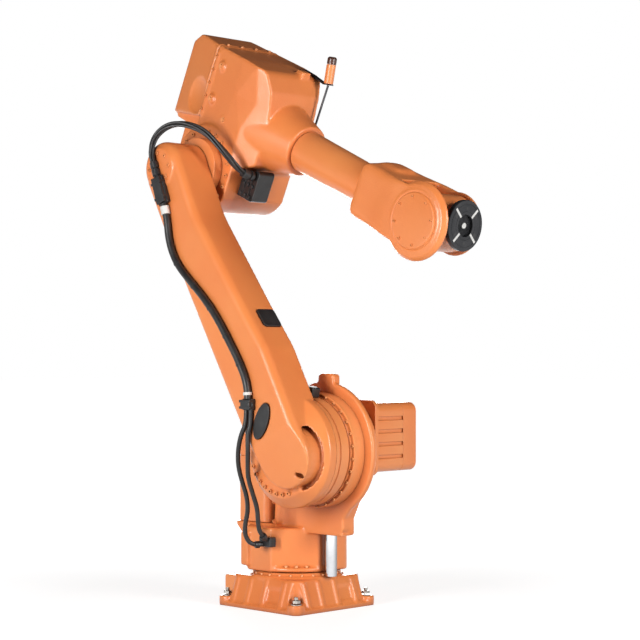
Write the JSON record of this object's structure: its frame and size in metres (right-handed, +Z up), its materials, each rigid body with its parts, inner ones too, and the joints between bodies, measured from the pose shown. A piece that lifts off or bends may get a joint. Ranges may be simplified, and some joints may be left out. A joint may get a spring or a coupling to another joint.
{
  "type": "industrial robot arm",
  "caption": "Orange six-axis industrial robot arm: turning base, side-mounted lower arm, heavy elbow housing, slim rolling forearm, forked wrist, black tool flange and black cable harness.",
  "frame": {"origin": "On the floor plane under the turning axis, at the centre of the base's flat underside", "axes": "+X forward, the way the arm reaches; +Y to the robot's left; +Z up"},
  "size_m": [1.2927, 0.6212, 1.8191],
  "materials": {
    "orange_paint": "semi-gloss enamel over cast iron",
    "polished_steel": "hard chromed and ground",
    "dark_steel": "blackened, with a bright bolt circle",
    "black_rubber": "matt cable jacket",
    "black_plastic": "moulded, matt",
    "pale_plastic": "moulded, matt",
    "connector_metal": "die cast, plain",
    "lamp_plastic": "smoked lens"
  },
  "bodies": {
    "base": {"base_casting": "orange_paint", "cable_entry_box": "orange_paint"},
    "turret_body": {"turret": "orange_paint", "stop_pin": "polished_steel", "shoulder_reducer": "orange_paint", "shoulder_motor_flange": "orange_paint", "shoulder_motor": "orange_paint", "shoulder_motor_cap": "orange_paint", "turning_motor": "orange_paint", "turning_motor_cap": "orange_paint", "turret_connector": "connector_metal", "shoulder_motor_plug": "black_plastic", "shoulder_motor_lead": "black_rubber", "turning_motor_plug": "black_plastic", "turning_motor_lead": "black_rubber", "harness_strand_front": "black_rubber", "harness_strand_rear": "black_rubber"},
    "lower_arm_body": {"lower_arm": "orange_paint", "elbow_reducer": "orange_paint", "arm_front_plug": "black_plastic", "arm_oval_plug": "black_plastic", "arm_inner_plug": "black_plastic", "arm_round_plug_1": "pale_plastic", "arm_round_plug_2": "pale_plastic", "arm_round_plug_3": "pale_plastic", "arm_round_plug_4": "pale_plastic", "harness_clamp_low": "black_plastic", "harness_clamp_high": "black_plastic", "harness_arm_run": "black_rubber", "harness_elbow_loop": "black_rubber"},
    "upper_arm_body": {"elbow_housing": "orange_paint", "elbow_rear_cover": "orange_paint", "harness_bracket": "black_plastic", "lamp_strap": "orange_paint", "lamp_body": "orange_paint", "lamp_lens": "lamp_plastic", "lamp_conduit": "black_rubber"},
    "forearm_body": {"forearm_tube": "orange_paint", "wrist_fork": "orange_paint", "wrist_cover_left": "orange_paint", "wrist_cover_right": "orange_paint"},
    "tilt_body": {"tilt_housing": "orange_paint"},
    "flange_body": {"tool_flange": "dark_steel"}
  },
  "joints": [
    {"name": "axis_1_turn", "type": "hinge", "parent": "base", "child": "turret_body", "pos_m": [0, 0, 0.114], "axis": [0, 0, 1], "range_deg": [-180, 180]},
    {"name": "axis_2_shoulder", "type": "hinge", "parent": "turret_body", "child": "lower_arm_body", "pos_m": [0.175, 0, 0.495], "axis": [0, 1, 0], "range_deg": [-62, 178], "deforming": ["harness_strand_front", "harness_strand_rear"]},
    {"name": "axis_3_elbow", "type": "hinge", "parent": "lower_arm_body", "child": "upper_arm_body", "pos_m": [-0.29447, 0, 1.37795], "axis": [0, -1, 0], "range_deg": [-22.2, 232.8], "deforming": ["harness_elbow_loop"]},
    {"name": "axis_4_forearm_roll", "type": "hinge", "parent": "upper_arm_body", "child": "forearm_body", "pos_m": [-0.22107, 0, 1.53681], "axis": [0.9078, 0, -0.4195], "range_deg": [-400, 400]},
    {"name": "axis_5_wrist_tilt", "type": "hinge", "parent": "forearm_body", "child": "tilt_body", "pos_m": [0.57778, 0, 1.16769], "axis": [0, 1, 0], "range_deg": [-108, 137]},
    {"name": "axis_6_flange_turn", "type": "hinge", "parent": "tilt_body", "child": "flange_body", "pos_m": [0.57778, 0, 1.16769], "axis": [0.9907, 0, -0.1357], "range_deg": [-400, 400]}
  ]
}
